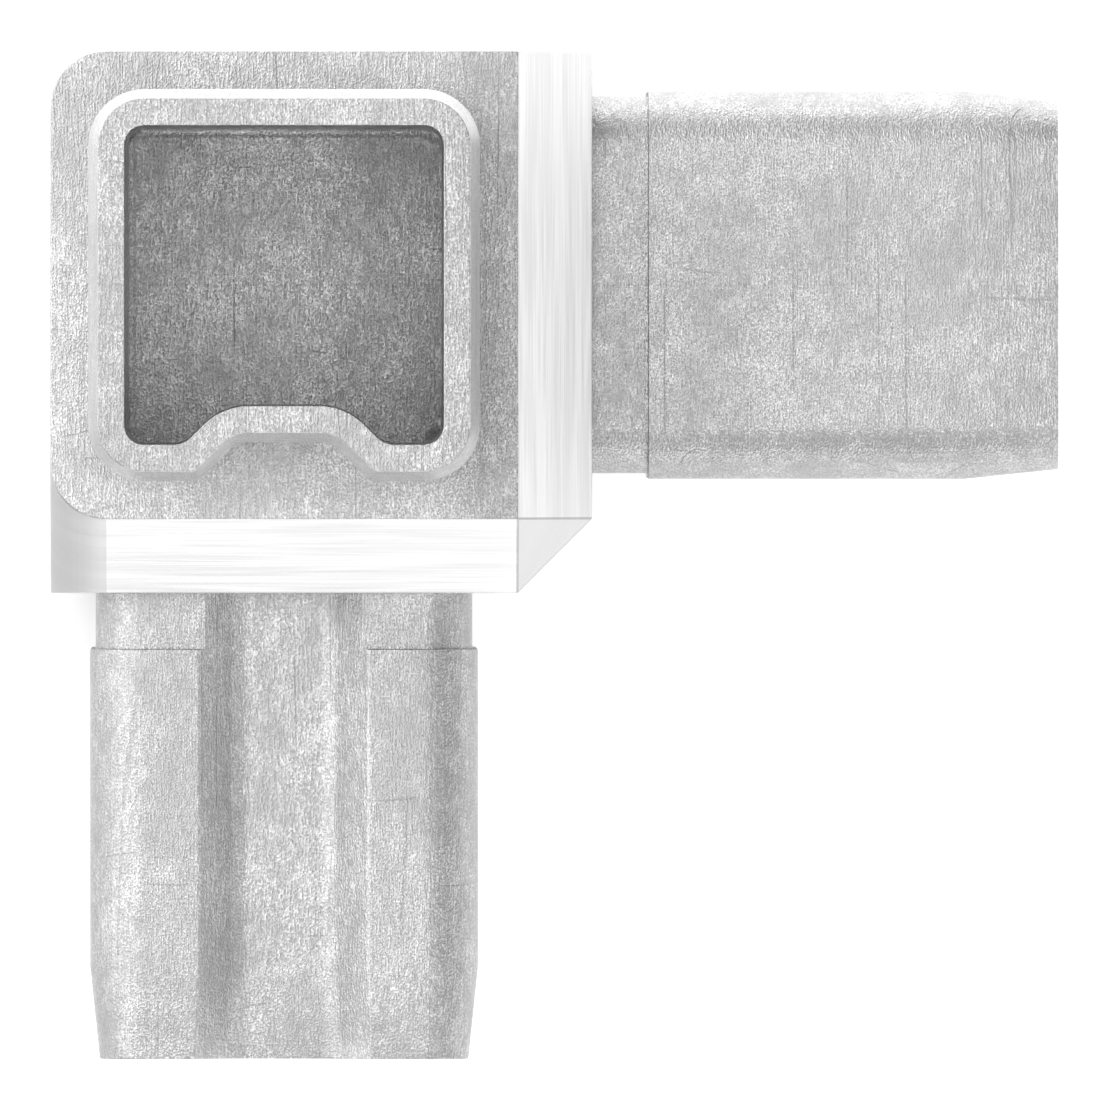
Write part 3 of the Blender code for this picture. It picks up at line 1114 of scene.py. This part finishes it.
class OBJECT_OT_add_tube_connector(bpy.types.Operator):
    """Build the connector, one casting in galvanised metal"""

    bl_idname = "object.add_tube_connector"
    bl_label = "Add tube connector"

    def execute(self, context):
        sizes = context.scene.connector_sizes
        material = galvanised_metal(context.scene.connector_finish)
        connector = tree_object(block_object(sizes), sizes, material)
        tidy_mesh(connector.data)
        smooth_faces(connector)
        mark_finishes(connector.data, sizes)
        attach(connector, "root")
        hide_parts(NODE)
        return {"FINISHED"}


class OBJECT_OT_add_connector_stage(bpy.types.Operator):
    """Lay the floor, hang the lights and set the camera"""

    bl_idname = "object.add_connector_stage"
    bl_label = "Add connector stage"

    def execute(self, context):
        scene = context.scene
        stage = scene.connector_stage
        lay_floor(stage)
        light_stage(scene, stage)
        scene.camera = aim_camera(stage)
        return {"FINISHED"}


class VIEW3D_PT_tube_connector(bpy.types.Panel):
    """Sizes, finish and stage of the tube connector"""

    bl_idname = "VIEW3D_PT_tube_connector"
    bl_label = "Square tube connector"
    bl_space_type = "VIEW_3D"
    bl_region_type = "UI"
    bl_category = "Connector"

    def draw(self, context):
        scene = context.scene
        for owner in (scene.connector_sizes, scene.connector_finish, scene.connector_stage):
            column = self.layout.column(align=True)
            for name in owner.bl_rna.properties.keys():
                if name not in ("rna_type", "name"):
                    column.prop(owner, name)
        for operator in OPERATORS:
            self.layout.operator(operator.bl_idname)


OPERATORS = (OBJECT_OT_add_tube_connector, OBJECT_OT_add_connector_stage)
CLASSES = (
    ConnectorSizes,
    ConnectorFinish,
    ConnectorStage,
    *OPERATORS,
    VIEW3D_PT_tube_connector,
)
GROUPS = (
    ("connector_sizes", ConnectorSizes),
    ("connector_finish", ConnectorFinish),
    ("connector_stage", ConnectorStage),
)


def register():
    """Register the classes, and keep the settings with the scene."""
    for cls in CLASSES:
        bpy.utils.register_class(cls)
    for name, group in GROUPS:
        setattr(bpy.types.Scene, name, bpy.props.PointerProperty(type=group))


def unregister():
    """Take back what register did."""
    for name, group in GROUPS:
        delattr(bpy.types.Scene, name)
    for cls in reversed(CLASSES):
        bpy.utils.unregister_class(cls)


def main():
    """Build the connector and its stage."""
    register()
    bpy.ops.object.add_tube_connector()
    bpy.ops.object.add_connector_stage()


if __name__ == "__main__":
    main()
